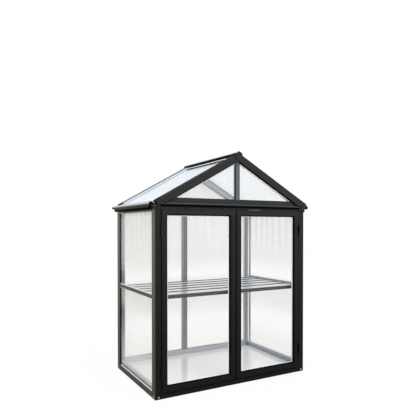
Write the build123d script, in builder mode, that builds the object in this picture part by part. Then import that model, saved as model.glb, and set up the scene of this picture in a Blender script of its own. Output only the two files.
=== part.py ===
from build123d import *

import os
from math import atan, cos, sin

# A small free-standing greenhouse, in millimetres. X runs to the right seen from the front,
# Y to the back, Z up. The origin is on the ground, in the middle of the outline seen from above.

# Overall size
width = 1000.0            # across the outer faces of the corner posts
depth = 640.0             # front face to back face of the corner posts
front_overhang = 28.0     # roof in front of the posts
eave_height = 1028.0      # top of the corner posts
roof_slope = 0.56         # rise for each unit of run

# Frame sections
post_x = 33.0             # corner post, across the front
post_y = 48.0             # corner post, along the side
wall = 1.8                # thickness of the drawn sections
edge_round = 1.2          # rounding of their outer edges
rail_width = 22.0         # side and back rails, from the outer face inwards
base_outer = 30.0         # outer height of the side and back base rails
bead_height = 16.0        # inner flange of the side base rails above the outer face
back_base = 60.0          # height of the back base rail
sill_height = 24.0        # front base rail, under the doors
transom_top = 548.0       # side transoms, which carry the shelf
transom_height = 20.0
side_top_height = 34.0    # side top rails, under the eaves
mullion_width = 36.0      # bar up the back wall
mullion_offset = -29.0    # that bar's middle, from the middle of the back wall
tie_height = 34.0         # beams across under the gables
tie_setback = 14.0        # front beam's face behind the rafters' face
lip_height = 9.0          # proud strip along the foot of the front beam
lip_round = 4.0           # rounding of that strip's upper edge
head_drop = 17.0          # web under the front beam, above the doors
head_setback = 6.0        # that web behind the posts' front face
head_depth = 28.0

# Roof
rafter_face = 41.0        # rafter height, square to its slope
rafter_depth = 48.0       # rafter along Y
heel_height = 23.0        # rafter's top above the post at the post's outer face
corner_width = 38.0       # cast eave corner, across the front
roof_setback = 8.0        # roof sheet under the rafters' top edge
ridge_beam_width = 24.0
ridge_beam_height = 34.0
ridge_gap = 8.0           # half the space between the roof sheets at the ridge
cap_reach = 22.0          # half width of the ridge cap
cap_rise = 10.0           # ridge cap's top above the rafters' top
cap_skin = 2.5
cap_overhang = 3.5        # ridge cap past the rafters at each end
nose_radius = 11.0        # rounded nose of the eave rails
nose_rise = 3.0           # nose's centre above the posts' top
nose_reach = 24.0         # nose's centre outside the posts' outer face
eave_lip = 2.3            # strip of the eave rail that covers the roof sheet's foot
eave_lip_reach = 14.0     # how far that strip reaches inside the posts' outer face
sheet_overrun = 8.0       # roof sheet past the posts' outer face, inside the eave rail
king_width = 24.0
king_depth = 23.0
king_setback = 14.0       # king post's face behind the rafters' face

# Sheets
sheet = 6.0               # twin-wall sheet
setback = 8.0             # wall sheets behind the outer faces
gable_setback = 18.0      # front gable sheet behind the rafters' face
channel = 9.0             # depth of the channels that hold the sheets
slack = 0.3               # clearance on each face of a sheet in its channel
edge_slack = 0.8          # clearance at the free edges of a sheet

# Floor and shelf
ledge = 12.0              # inner ledge that carries the floor or the shelf
ledge_thick = 3.0
slat_count = 5
slat_thick = 8.0
slat_wall = 1.4           # slats are channels, open below
slat_round = 2.2
slat_fill = 0.65          # share of the pitch that a slat covers
shelf_drop = 7.0          # slats' top below the transoms' top
shelf_rail_height = 22.0
shelf_rail_depth = 18.0

# Doors
side_gap = 5.0            # door to corner post
centre_gap = 6.5          # door to door
end_gap = 5.0             # door to sill and to the head web
door_depth = 28.0
stile_width = 32.0
door_rail_height = 30.0
pane_setback = 18.0       # pane behind the door's front face

# Hinges
barrel_radius = 6.0
barrel_length = 60.0
pin_radius = 2.5
pin_head_radius = 4.0
pin_head = 1.5            # pin's heads above and below the barrel
pin_clearance = 0.08
knuckle_gap = 0.3
leaf_thick = 2.0
leaf_depth = 26.0
leaf_start = 0.5          # leaf's full-height edge behind the front face
hinge_inset = 117.0       # hinge's middle from the door's end

# Places worked out from the sizes above
x_out = width / 2
x_in = x_out - post_x
y_verge = -(depth + front_overhang) / 2
y_front = y_verge + front_overhang
y_back = y_front + depth
y_post_front = y_front + post_y
y_post_back = y_back - post_y
x_rail = x_out - rail_width
x_sheet = x_out - setback - sheet
y_rail = y_back - rail_width
y_sheet = y_back - setback - sheet
side_top_low = eave_height - side_top_height
tie_top = eave_height + tie_height
apex = eave_height + heel_height + roof_slope * x_out
pitch = atan(roof_slope)
plumb = 1 / cos(pitch)
floor_top = sill_height + sheet
shelf_top = transom_top - shelf_drop
door_low = sill_height + end_gap
door_high = eave_height - head_drop - end_gap
x_hinge = x_in - side_gap / 2
x_door = x_in - side_gap
y_hinge = y_front - barrel_radius
sides = {"left": -1, "right": 1}

os.makedirs("parts", exist_ok=True)


def save(part, label):
    """Name one sub-part and write it."""
    part.label = label
    export_step(part, f"parts/{label}.step")


def across_y(y):
    """Plane at y with X across and Z up, from which a negative amount extrudes to the back."""
    return Plane(origin=(0, y, 0), x_dir=(1, 0, 0), z_dir=(0, -1, 0))


def across_x(x):
    """Plane at x with Y across and Z up, from which a positive amount extrudes to the right."""
    return Plane(origin=(x, 0, 0), x_dir=(0, 1, 0), z_dir=(1, 0, 0))


def rect(a0, a1, b0, b1, mode=Mode.ADD):
    """Rectangle between two corners of the sketch in hand."""
    with Locations(((a0 + a1) / 2, (b0 + b1) / 2)):
        Rectangle(abs(a1 - a0), abs(b1 - b0), mode=mode)


def block(x0, x1, y0, y1, z0, z1, mode=Mode.ADD):
    """Block between two corners of the part in hand."""
    with Locations(((x0 + x1) / 2, (y0 + y1) / 2, (z0 + z1) / 2)):
        Box(abs(x1 - x0), abs(y1 - y0), abs(z1 - z0), mode=mode)


def soften(radius, *corners):
    """Round the corners of the sketch in hand that lie at the given points."""
    fillet([v for v in vertices() for a, b in corners if abs(v.X - a) < 0.01 and abs(v.Y - b) < 0.01], radius)


def prism(y0, y1, points, mode=Mode.ADD):
    """Prism along Y between two places, from an outline in X and Z."""
    with BuildSketch(across_y(y0)) as face:
        Polygon(*points, align=None)
    extrude(face.sketch, amount=-(y1 - y0), mode=mode)


def roof_line(drop, x):
    """Height at x of the line that lies drop below the rafters' top, square to the slope."""
    return apex - drop * plumb - roof_slope * abs(x)


def roof_x(drop, z):
    """Distance from the middle at which that line has the height z."""
    return (apex - drop * plumb - z) / roof_slope


# Corner posts: a hollow section with a channel for each sheet that ends in it
for side, s in sides.items():
    for end in ("front", "back"):
        with BuildPart() as corner_post:
            with BuildSketch(Plane.XY):
                y0, y1 = (y_front, y_post_front) if end == "front" else (y_post_back, y_back)
                rect(s * x_in, s * x_out, y0, y1)
                y_floor = y_post_front - channel if end == "front" else y_post_back + channel
                y_far = y0 if end == "front" else y1
                x_core = x_in + (0 if end == "front" else channel)
                step = wall if y_far > y_floor else -wall
                rect(s * (x_core + wall), s * (x_out - wall), y_floor + step, y_far - step, Mode.SUBTRACT)
                y_mouth = y_post_front if end == "front" else y_post_back
                rect(s * (x_sheet - slack), s * (x_sheet + sheet + slack), y_floor, y_mouth, Mode.SUBTRACT)
                if end == "back":
                    rect(s * x_in, s * (x_in + channel), y_sheet - slack, y_sheet + sheet + slack, Mode.SUBTRACT)
                soften(edge_round, (s * x_out, y_far), (s * x_in, y_far), (s * x_in, y_mouth), (s * x_out, y_mouth))
            extrude(amount=eave_height)
        save(corner_post.part, f"corner_post_{end}_{side}")


# Front base rail: the sill under the doors
with BuildPart() as sill:
    with BuildSketch(across_x(-x_in)):
        rect(y_front, y_post_front, 0, sill_height)
        rect(y_front + wall, y_post_front - wall, wall, sill_height - wall, Mode.SUBTRACT)
        soften(edge_round, (y_front, sill_height))
    extrude(amount=2 * x_in)
save(sill.part, "base_rail_front")


# Side base rails: low outside, with a taller inner flange behind the sheet
for side, s in sides.items():
    with BuildPart() as side_base:
        with BuildSketch(across_y(y_post_front)):
            rect(s * x_rail, s * x_out, 0, base_outer)
            rect(s * x_rail, s * (x_sheet - slack), base_outer, base_outer + bead_height)
            rect(s * (x_rail - ledge), s * x_rail, sill_height - ledge_thick, sill_height)
            rect(s * (x_sheet - slack), s * (x_sheet + sheet + slack), base_outer - channel, base_outer,
                 Mode.SUBTRACT)
            rect(s * (x_rail + wall), s * (x_out - wall), wall, base_outer - channel - wall, Mode.SUBTRACT)
            soften(edge_round, (s * x_out, base_outer), (s * x_rail, base_outer + bead_height))
        extrude(amount=-(y_post_back - y_post_front))
    save(side_base.part, f"base_rail_{side}")


# Back base rail
with BuildPart() as back_rail:
    with BuildSketch(across_x(-x_in)):
        rect(y_rail, y_back, 0, back_base)
        rect(y_rail - ledge, y_rail, sill_height - ledge_thick, sill_height)
        rect(y_sheet - slack, y_sheet + sheet + slack, back_base - channel, back_base, Mode.SUBTRACT)
        rect(y_rail + wall, y_back - wall, wall, back_base - channel - wall, Mode.SUBTRACT)
        soften(edge_round, (y_back, back_base), (y_rail, back_base))
    extrude(amount=2 * x_in)
save(back_rail.part, "base_rail_back")


# Side top rails and side transoms
for side, s in sides.items():
    with BuildPart() as side_top:
        with BuildSketch(across_y(y_post_front)):
            rect(s * x_rail, s * x_out, side_top_low, eave_height)
            rect(s * (x_sheet - slack), s * (x_sheet + sheet + slack), side_top_low, side_top_low + channel,
                 Mode.SUBTRACT)
            rect(s * (x_rail + wall), s * (x_out - wall), side_top_low + channel + wall, eave_height - wall,
                 Mode.SUBTRACT)
            soften(edge_round, (s * x_out, side_top_low), (s * x_rail, side_top_low))
        extrude(amount=-(y_post_back - y_post_front))
    save(side_top.part, f"side_top_rail_{side}")

transom_low = transom_top - transom_height
transom_channel = transom_height / 2 - wall
for side, s in sides.items():
    with BuildPart() as transom:
        with BuildSketch(across_y(y_post_front)):
            rect(s * x_rail, s * x_out, transom_low, transom_top)
            rect(s * (x_sheet - slack), s * (x_sheet + sheet + slack), transom_low,
                 transom_low + transom_channel, Mode.SUBTRACT)
            rect(s * (x_sheet - slack), s * (x_sheet + sheet + slack), transom_top - transom_channel,
                 transom_top, Mode.SUBTRACT)
            soften(edge_round, (s * x_out, transom_low), (s * x_out, transom_top), (s * x_rail, transom_top))
        extrude(amount=-(y_post_back - y_post_front))
        block(s * (x_rail - ledge), s * x_rail, y_post_front + shelf_rail_depth,
              y_post_back - shelf_rail_depth, shelf_top - slat_thick - ledge_thick, shelf_top - slat_thick)
    save(transom.part, f"side_transom_{side}")


# Back mullion, between a wider and a narrower sheet
mullion_x0 = mullion_offset - mullion_width / 2
mullion_x1 = mullion_offset + mullion_width / 2
with BuildPart() as mullion:
    with BuildSketch(Plane.XY.offset(back_base)):
        rect(mullion_x0, mullion_x1, y_rail, y_back)
        for x_face, x_floor in ((mullion_x0, mullion_x0 + channel), (mullion_x1, mullion_x1 - channel)):
            rect(x_face, x_floor, y_sheet - slack, y_sheet + sheet + slack, Mode.SUBTRACT)
        rect(mullion_x0 + wall, mullion_x1 - wall, y_rail + wall, y_sheet - slack - wall, Mode.SUBTRACT)
        soften(edge_round, *[(a, b) for a in (mullion_x0, mullion_x1) for b in (y_rail, y_back)])
    extrude(amount=eave_height - back_base)
save(mullion.part, "back_mullion")


# Lines shared by the beams, the rafters, the cast corners and the sheets of the roof
corner_foot = x_out - corner_width
lip_top = eave_height + lip_height
corner_top = (corner_foot + roof_slope * (apex - lip_top)) / (1 + roof_slope ** 2)
corner_tie = corner_foot + roof_slope * (tie_top - lip_top)
y_tie = y_verge + tie_setback
y_gable = y_verge + gable_setback
y_rafter_front = y_verge + rafter_depth
y_rafter_back = y_back - rafter_depth
gable_drop = rafter_face - channel
sheet_low = roof_setback + sheet
roof_foot = x_out + sheet_overrun
roof_y0 = y_rafter_front - channel
roof_y1 = y_rafter_back + channel


def gable_points(grow=0):
    """Outline of a gable sheet, grown by a clearance all round."""
    low = tie_top - channel - grow
    high = gable_drop + edge_slack - grow
    return [(-roof_x(high, low), low), (roof_x(high, low), low), (0, roof_line(high, 0))]


def roof_points(s, grow=0, edge_grow=0):
    """Section of a roof sheet with plumb ends, grown by a clearance on its faces and ends."""
    foot, head = roof_foot + edge_grow, ridge_gap - edge_grow
    top, low = roof_setback - grow, sheet_low + grow
    return [(s * head, roof_line(low, head)), (s * foot, roof_line(low, foot)),
            (s * foot, roof_line(top, foot)), (s * head, roof_line(top, head))]


def trim_to_roof():
    """Cut the part in hand back from the roof sheets, and give it the channels they run in."""
    for s in sides.values():
        prism(roof_y0, roof_y1, roof_points(s, slack, edge_slack), Mode.SUBTRACT)
        above = [(0, roof_line(sheet_low + slack, 0)), (s * x_out, roof_line(sheet_low + slack, x_out)),
                 (s * x_out, apex), (0, apex)]
        prism(y_rafter_front, y_rafter_back, above, Mode.SUBTRACT)


def groove_gable(y_panel):
    """Cut the groove of a gable sheet into the part in hand."""
    prism(y_panel - slack, y_panel + sheet + slack, gable_points(edge_slack), Mode.SUBTRACT)


# Beams under the gables. Their ends follow the slanted edge of the cast corners.
tie_points = [(-corner_foot, eave_height), (corner_foot, eave_height), (corner_foot, lip_top),
              (corner_tie, tie_top), (-corner_tie, tie_top), (-corner_foot, lip_top)]
with BuildPart() as front_tie:
    prism(y_tie, y_tie + post_y, tie_points)
    block(-corner_foot, corner_foot, y_verge, y_tie, eave_height, lip_top)
    block(-x_in, x_in, y_front + head_setback, y_front + head_setback + head_depth,
          eave_height - head_drop, eave_height)
    block(-corner_foot, corner_foot, y_tie + wall, y_tie + post_y - wall, eave_height + wall,
          tie_top - channel - wall, Mode.SUBTRACT)
    groove_gable(y_gable)
    trim_to_roof()
    fillet(front_tie.edges().filter_by(Axis.X).filter_by_position(Axis.Z, lip_top, lip_top).group_by(Axis.Y)[0],
           lip_round)
    fillet(front_tie.edges().filter_by(Axis.X).filter_by_position(Axis.Y, y_tie, y_tie).group_by(Axis.Z)[-1],
           edge_round)
save(front_tie.part, "tie_beam_front")

with BuildPart() as back_tie:
    prism(y_post_back, y_back, tie_points)
    block(-corner_foot, corner_foot, y_post_back + wall, y_sheet - slack - wall, eave_height + wall,
          tie_top - wall, Mode.SUBTRACT)
    block(-corner_foot, corner_foot, y_sheet - slack, y_sheet + sheet + slack, eave_height,
          eave_height + channel, Mode.SUBTRACT)
    groove_gable(y_sheet)
    trim_to_roof()
save(back_tie.part, "tie_beam_back")


# Cast eave corners on top of the posts
corner_points = [(x_out, eave_height), (x_out, roof_line(0, x_out)), (corner_top, roof_line(0, corner_top)),
                 (corner_foot, lip_top), (corner_foot, eave_height)]
with BuildPart() as corners:
    for s in sides.values():
        for y0, y1 in ((y_verge, y_post_front), (y_post_back, y_back)):
            prism(y0, y1, [(s * x, z) for x, z in corner_points])
        block(s * corner_foot, s * (x_in + channel), y_sheet - slack, y_sheet + sheet + slack, eave_height,
              eave_height + channel, Mode.SUBTRACT)
    trim_to_roof()
save(corners.part, "eave_corners")


# Gable sheets: two halves beside the king post at the front, one sheet at the back
king_half = king_width / 2
half_start = king_half - channel + edge_slack
half_low = tie_top - channel
half_drop = gable_drop + edge_slack
half_points = [(half_start, half_low), (roof_x(half_drop, half_low), half_low),
               (half_start, roof_line(half_drop, half_start))]
with BuildPart() as front_gable:
    for s in sides.values():
        prism(y_gable, y_gable + sheet, [(s * x, z) for x, z in half_points])
save(front_gable.part, "gable_panel_front")

with BuildPart() as back_gable:
    prism(y_sheet, y_sheet + sheet, gable_points())
save(back_gable.part, "gable_panel_back")


# Roof sheets
for side, s in sides.items():
    with BuildPart() as roof:
        prism(roof_y0 + edge_slack, roof_y1 - edge_slack, roof_points(s))
    save(roof.part, f"roof_panel_{side}")


# Rafters: the left one is cut square at the top and the right one fits over it
square_x = rafter_face * sin(pitch)
rafter_ends = {
    "front": (y_verge, y_tie, y_gable),
    "back": (y_rafter_back, y_rafter_back, y_sheet),
}
for end, (y_near, y_seat, y_panel) in rafter_ends.items():
    for side, s in sides.items():
        points = [(0, roof_line(rafter_face, 0)), (-square_x, roof_line(0, square_x))]
        if side == "right":
            points.append((0, apex))
        points += [(s * corner_top, roof_line(0, corner_top)), (s * corner_foot, lip_top),
                   (s * roof_x(rafter_face, lip_top), lip_top)]
        with BuildPart() as rafter:
            prism(y_near, y_near + rafter_depth, points)
            block(s * roof_x(rafter_face, tie_top), s * x_out, y_seat, y_seat + rafter_depth, eave_height,
                  tie_top, Mode.SUBTRACT)
            groove_gable(y_panel)
            trim_to_roof()
            outer_face = rafter.edges().group_by(Axis.Y)[0 if end == "front" else -1]
            fillet(outer_face.sort_by(SortBy.LENGTH)[-2:], edge_round)
        save(rafter.part, f"rafter_{end}_{side}")


# Eave rails: a rounded nose outside the posts, a seat for the roof sheet and a strip over it
nose_middle = eave_height + nose_rise
nose_low = nose_middle - nose_radius
nose_high = nose_middle + nose_radius
x_nose = x_out + nose_reach
x_lip = x_out - eave_lip_reach
x_lip_end = roof_foot + edge_slack + eave_lip
lip_low = roof_setback - slack
for side, s in sides.items():
    with BuildPart() as eave:
        with BuildSketch(across_y(y_front)):
            rect(s * x_out, s * x_nose, nose_low, nose_high)
            with Locations((s * x_nose, nose_middle)):
                Circle(nose_radius)
                Circle(nose_radius - wall, mode=Mode.SUBTRACT)
            rect(s * (x_out + wall), s * x_nose, nose_low + wall, nose_high - wall, Mode.SUBTRACT)
        extrude(amount=-(y_back - y_front))
        prism(y_post_front, y_post_back,
              [(s * x_rail, eave_height), (s * x_out, eave_height),
               (s * x_out, roof_line(sheet_low, x_out)), (s * x_rail, roof_line(sheet_low, x_rail))])
        prism(y_rafter_front, y_rafter_back,
              [(s * x_lip, roof_line(lip_low, x_lip)), (s * x_lip_end, roof_line(lip_low, x_lip_end)),
               (s * x_lip_end, roof_line(lip_low - eave_lip, x_lip_end)),
               (s * x_lip, roof_line(lip_low - eave_lip, x_lip))])
        prism(roof_y0, roof_y1, roof_points(s, slack, edge_slack), Mode.SUBTRACT)
    save(eave.part, f"eave_rail_{side}")


# Ridge beam between the rafters, and the cap over the ridge
ridge_half = ridge_beam_width / 2
ridge_low = roof_line(sheet_low, ridge_half) - ridge_beam_height
with BuildPart() as ridge_beam:
    prism(y_rafter_front, y_rafter_back,
          [(-ridge_half, ridge_low), (ridge_half, ridge_low), (ridge_half, roof_line(sheet_low, ridge_half)),
           (0, roof_line(sheet_low, 0)), (-ridge_half, roof_line(sheet_low, ridge_half))])
    block(wall - ridge_half, ridge_half - wall, y_rafter_front, y_rafter_back, ridge_low + wall,
          roof_line(sheet_low, ridge_half) - wall, Mode.SUBTRACT)
save(ridge_beam.part, "ridge_beam")


def cap_points(reach, top):
    """Section between the rafters' top and a line above it, as far as reach each side."""
    return [(0, top), (reach, top - roof_slope * reach), (reach, roof_line(0, reach)), (0, apex),
            (-reach, roof_line(0, reach)), (-reach, top - roof_slope * reach)]


cap_inner = cap_reach - cap_skin
with BuildPart() as ridge_cap:
    prism(y_verge - cap_overhang, y_back + cap_overhang, cap_points(cap_reach, apex + cap_rise))
    prism(y_rafter_front, y_rafter_back, cap_points(cap_inner, apex + cap_rise - cap_skin), Mode.SUBTRACT)
    for s in sides.values():
        prism(y_rafter_front, y_rafter_back,
              [(s * cap_inner, roof_line(0, cap_inner)), (s * cap_reach, roof_line(0, cap_reach)),
               (s * cap_reach, roof_line(roof_setback, cap_reach)),
               (s * cap_inner, roof_line(roof_setback, cap_inner))])
save(ridge_cap.part, "ridge_cap")


# Front king post, with a channel on each side for the halves of the gable sheet
y_king = y_verge + king_setback
y_king_core = y_gable + sheet + slack + wall
with BuildPart() as king_post:
    prism(y_king, y_king + king_depth,
          [(-king_half, tie_top), (king_half, tie_top), (king_half, roof_line(rafter_face, king_half)),
           (0, roof_line(rafter_face, 0)), (-king_half, roof_line(rafter_face, king_half))])
    block(wall - king_half, king_half - wall, y_king_core, y_king + king_depth - wall, tie_top, apex,
          Mode.SUBTRACT)
    for s in sides.values():
        block(s * (king_half - channel), s * king_half, y_gable - slack, y_gable + sheet + slack, tie_top, apex,
              Mode.SUBTRACT)
save(king_post.part, "king_post_front")


# Wall sheets. Each rests on the floor of its lower channel.
bays = {
    "lower": (base_outer - channel, transom_low + transom_channel - edge_slack),
    "upper": (transom_top - transom_channel, side_top_low + channel - edge_slack),
}
for side, s in sides.items():
    with BuildPart() as side_sheets:
        for low, high in bays.values():
            block(s * x_sheet, s * (x_sheet + sheet), y_post_front - channel + edge_slack,
                  y_post_back + channel - edge_slack, low, high)
    save(side_sheets.part, f"side_panels_{side}")

back_edge = x_in + channel - edge_slack
back_spans = ((-back_edge, mullion_x0 + channel - edge_slack), (mullion_x1 - channel + edge_slack, back_edge))
with BuildPart() as back_sheets:
    for x0, x1 in back_spans:
        block(x0, x1, y_sheet, y_sheet + sheet, back_base - channel, eave_height + channel - edge_slack)
save(back_sheets.part, "back_panels")


# Floor panel on the ledges and on the sill, notched round the back posts
with BuildPart() as floor:
    block(-x_in, x_in, y_post_front - ledge, y_post_front, sill_height, floor_top)
    block(-x_rail + slack, x_rail - slack, y_post_front, y_post_back, sill_height, floor_top)
    block(-x_in + slack, x_in - slack, y_post_back, y_rail - slack, sill_height, floor_top)
save(floor.part, "floor_panel")


# Shelf: a front and a back rail between the transoms, and slats on the transoms' ledges
shelf_low = shelf_top - shelf_rail_height
with BuildPart() as shelf_rails:
    with BuildSketch(across_x(-x_rail)):
        for y0 in (y_post_front, y_post_back - shelf_rail_depth):
            y1 = y0 + shelf_rail_depth
            rect(y0, y1, shelf_low, shelf_top)
            rect(y0 + wall, y1 - wall, shelf_low + wall, shelf_top - wall, Mode.SUBTRACT)
            soften(edge_round, *[(a, b) for a in (y0, y1) for b in (shelf_low, shelf_top)])
    extrude(amount=2 * x_rail)
save(shelf_rails.part, "shelf_rails")

shelf_y0 = y_post_front + shelf_rail_depth
shelf_y1 = y_post_back - shelf_rail_depth
slat_pitch = (shelf_y1 - shelf_y0) / slat_count
slat_width = slat_fill * slat_pitch
slat_low = shelf_top - slat_thick
with BuildPart() as slats:
    with BuildSketch(across_x(-x_rail + slack)):
        for i in range(slat_count):
            y0 = shelf_y0 + i * slat_pitch
            y1 = y0 + slat_width
            rect(y0, y1, slat_low, shelf_top)
            rect(y0 + slat_wall, y1 - slat_wall, slat_low, shelf_top - slat_wall, Mode.SUBTRACT)
            soften(slat_round, (y0, shelf_top), (y1, shelf_top))
    extrude(amount=2 * (x_rail - slack))
save(slats.part, "shelf_slats")


# Doors: two stiles, two rails and a pane each
door_back = y_front + door_depth
pane_y = y_front + pane_setback
groove = channel
for side, s in sides.items():
    x_free = centre_gap / 2
    stile_faces = ((x_free, x_free + stile_width), (x_door - stile_width, x_door))
    with BuildPart() as stiles:
        for i, (a, b) in enumerate(stile_faces):
            with BuildSketch(Plane.XY.offset(door_low)):
                rect(s * a, s * b, y_front, door_back)
                inner = (b - groove, b) if i == 0 else (a, a + groove)
                rect(s * inner[0], s * inner[1], pane_y - slack, pane_y + sheet + slack, Mode.SUBTRACT)
                core = (a + wall, b - groove - wall) if i == 0 else (a + groove + wall, b - wall)
                rect(s * core[0], s * core[1], y_front + wall, door_back - wall, Mode.SUBTRACT)
                soften(edge_round, *[(s * x, y) for x in (a, b) for y in (y_front, door_back)])
            extrude(amount=door_high - door_low)
    save(stiles.part, f"{side}_door_stiles")

    rail_x0, rail_x1 = x_free + stile_width, x_door - stile_width
    with BuildPart() as rails:
        for i, (z0, z1) in enumerate(((door_low, door_low + door_rail_height),
                                      (door_high - door_rail_height, door_high))):
            with BuildSketch(across_x(min(s * rail_x0, s * rail_x1))):
                rect(y_front, door_back, z0, z1)
                inner = (z1 - groove, z1) if i == 0 else (z0, z0 + groove)
                rect(pane_y - slack, pane_y + sheet + slack, inner[0], inner[1], Mode.SUBTRACT)
                core = (z0 + wall, z1 - groove - wall) if i == 0 else (z0 + groove + wall, z1 - wall)
                rect(y_front + wall, door_back - wall, core[0], core[1], Mode.SUBTRACT)
                soften(edge_round, *[(y, z) for y in (y_front, door_back) for z in (z0, z1)])
            extrude(amount=rail_x1 - rail_x0)
    save(rails.part, f"{side}_door_rails")

    with BuildPart() as pane:
        block(s * (rail_x0 - groove + edge_slack), s * (rail_x1 + groove - edge_slack), pane_y, pane_y + sheet,
              door_low + door_rail_height - groove, door_high - door_rail_height + groove - edge_slack)
    save(pane.part, f"{side}_door_pane")


# Hinges: the outer knuckles and the pin stay on the post, the middle knuckle turns with the door
knuckle = barrel_length / 3
hinge_middles = (door_low + hinge_inset, door_high - hinge_inset)
for side, s in sides.items():
    with BuildPart() as post_hinges:
        for z in hinge_middles:
            z0 = z - barrel_length / 2
            for k in (0, 2):
                with BuildSketch(Plane.XY.offset(z0 + k * knuckle)):
                    with Locations((s * x_hinge, y_hinge)):
                        Circle(barrel_radius)
                    rect(s * (x_in - leaf_thick), s * x_in, y_hinge, y_front + leaf_start)
                extrude(amount=knuckle)
            with BuildSketch(Plane.XY.offset(z0)):
                with Locations((s * x_hinge, y_hinge)):
                    Circle(pin_radius)
            extrude(amount=barrel_length)
            for z_head in (z0 - pin_head, z0 + barrel_length):
                with BuildSketch(Plane.XY.offset(z_head)):
                    with Locations((s * x_hinge, y_hinge)):
                        Circle(pin_head_radius)
                extrude(amount=pin_head)
            block(s * (x_in - leaf_thick), s * x_in, y_front + leaf_start, y_front + leaf_depth, z0,
                  z0 + barrel_length)
    save(post_hinges.part, f"{side}_post_hinges")

    with BuildPart() as door_hinges:
        for z in hinge_middles:
            z0 = z - barrel_length / 2
            with BuildSketch(Plane.XY.offset(z0 + knuckle + knuckle_gap)):
                with Locations((s * x_hinge, y_hinge)):
                    Circle(barrel_radius)
                rect(s * x_door, s * (x_door + leaf_thick), y_hinge, y_front + leaf_start)
                with Locations((s * x_hinge, y_hinge)):
                    Circle(pin_radius + pin_clearance, mode=Mode.SUBTRACT)
            extrude(amount=knuckle - 2 * knuckle_gap)
            block(s * x_door, s * (x_door + leaf_thick), y_front + leaf_start, y_front + leaf_depth, z0,
                  z0 + barrel_length)
    save(door_hinges.part, f"{side}_door_hinges")
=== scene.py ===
"""Dresses the small greenhouse: finishes, seals, bolts and screws, a pale studio and the camera."""

import logging
from dataclasses import dataclass, field, replace
from enum import Enum
from math import atan, cos, pi, radians, sin, sqrt
from typing import Callable, ClassVar, Optional, Union

import bmesh
import bpy
from mathutils import Matrix, Vector


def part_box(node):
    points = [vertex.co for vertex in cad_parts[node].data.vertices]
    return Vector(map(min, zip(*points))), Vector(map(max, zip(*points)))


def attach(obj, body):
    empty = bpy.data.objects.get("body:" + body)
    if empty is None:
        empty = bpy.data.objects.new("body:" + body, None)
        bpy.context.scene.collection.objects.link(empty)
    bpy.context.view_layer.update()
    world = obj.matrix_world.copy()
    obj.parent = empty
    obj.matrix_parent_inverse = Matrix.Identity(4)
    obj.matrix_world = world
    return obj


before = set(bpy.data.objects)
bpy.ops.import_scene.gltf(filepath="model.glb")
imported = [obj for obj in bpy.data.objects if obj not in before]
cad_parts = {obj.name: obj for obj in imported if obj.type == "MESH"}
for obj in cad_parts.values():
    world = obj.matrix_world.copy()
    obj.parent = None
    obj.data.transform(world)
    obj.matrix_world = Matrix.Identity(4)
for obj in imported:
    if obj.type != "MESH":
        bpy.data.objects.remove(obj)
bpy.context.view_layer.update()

log = logging.getLogger("greenhouse")

Colour = tuple[float, float, float]
Scale = tuple[float, float, float]
Number = Union[float, "Signal"]
SIDES = {"left": -1, "right": 1}
SMOOTH_ANGLE = radians(35)


class Axis(Enum):
    """Direction of the object's frame, by its place in a coordinate."""

    X = 0
    Y = 1
    Z = 2


def rgba(colour: Colour) -> tuple[float, float, float, float]:
    """A linear colour with full alpha, as a node's socket takes it."""
    return (*colour, 1.0)


def grey(value: float) -> Colour:
    """A linear grey."""
    return (value, value, value)


class Signal:
    """Wraps one output socket, so that shader maths reads as plain sums."""

    def __init__(self, graph: "Graph", socket: bpy.types.NodeSocket) -> None:
        """Keeps the socket and the graph that new Math nodes go into."""
        self.graph = graph
        self.socket = socket

    def out(self, name: Union[str, int]) -> "Signal":
        """Another output of the same node."""
        return Signal(self.graph, self.socket.node.outputs[name])

    def _math(self, operation: str, first: Number, second: Number = 0.0) -> "Signal":
        """Adds one Math node."""
        return self.graph.node("ShaderNodeMath", {"operation": operation}, {0: first, 1: second})

    def __add__(self, other: Number) -> "Signal":
        """The sum of two numbers."""
        return self._math("ADD", self, other)

    def __radd__(self, other: Number) -> "Signal":
        """The sum, with this one on the right."""
        return self._math("ADD", other, self)

    def __sub__(self, other: Number) -> "Signal":
        """The difference of two numbers."""
        return self._math("SUBTRACT", self, other)

    def __rsub__(self, other: Number) -> "Signal":
        """The difference, with this one on the right."""
        return self._math("SUBTRACT", other, self)

    def __mul__(self, other: Number) -> "Signal":
        """The product of two numbers."""
        return self._math("MULTIPLY", self, other)

    def __rmul__(self, other: Number) -> "Signal":
        """The product, with this one on the right."""
        return self._math("MULTIPLY", other, self)

    def __lt__(self, other: Number) -> "Signal":
        """One where this is less than the other."""
        return self._math("LESS_THAN", self, other)

    def __gt__(self, other: Number) -> "Signal":
        """One where this is greater than the other."""
        return self._math("GREATER_THAN", self, other)

    def __abs__(self) -> "Signal":
        """The number without its sign."""
        return self._math("ABSOLUTE", self)

    def sine(self) -> "Signal":
        """The sine of the number, in radians."""
        return self._math("SINE", self)

    def most(self, other: Number) -> "Signal":
        """The larger of two numbers."""
        return self._math("MAXIMUM", self, other)

    def least(self, other: Number) -> "Signal":
        """The smaller of two numbers."""
        return self._math("MINIMUM", self, other)


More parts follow.
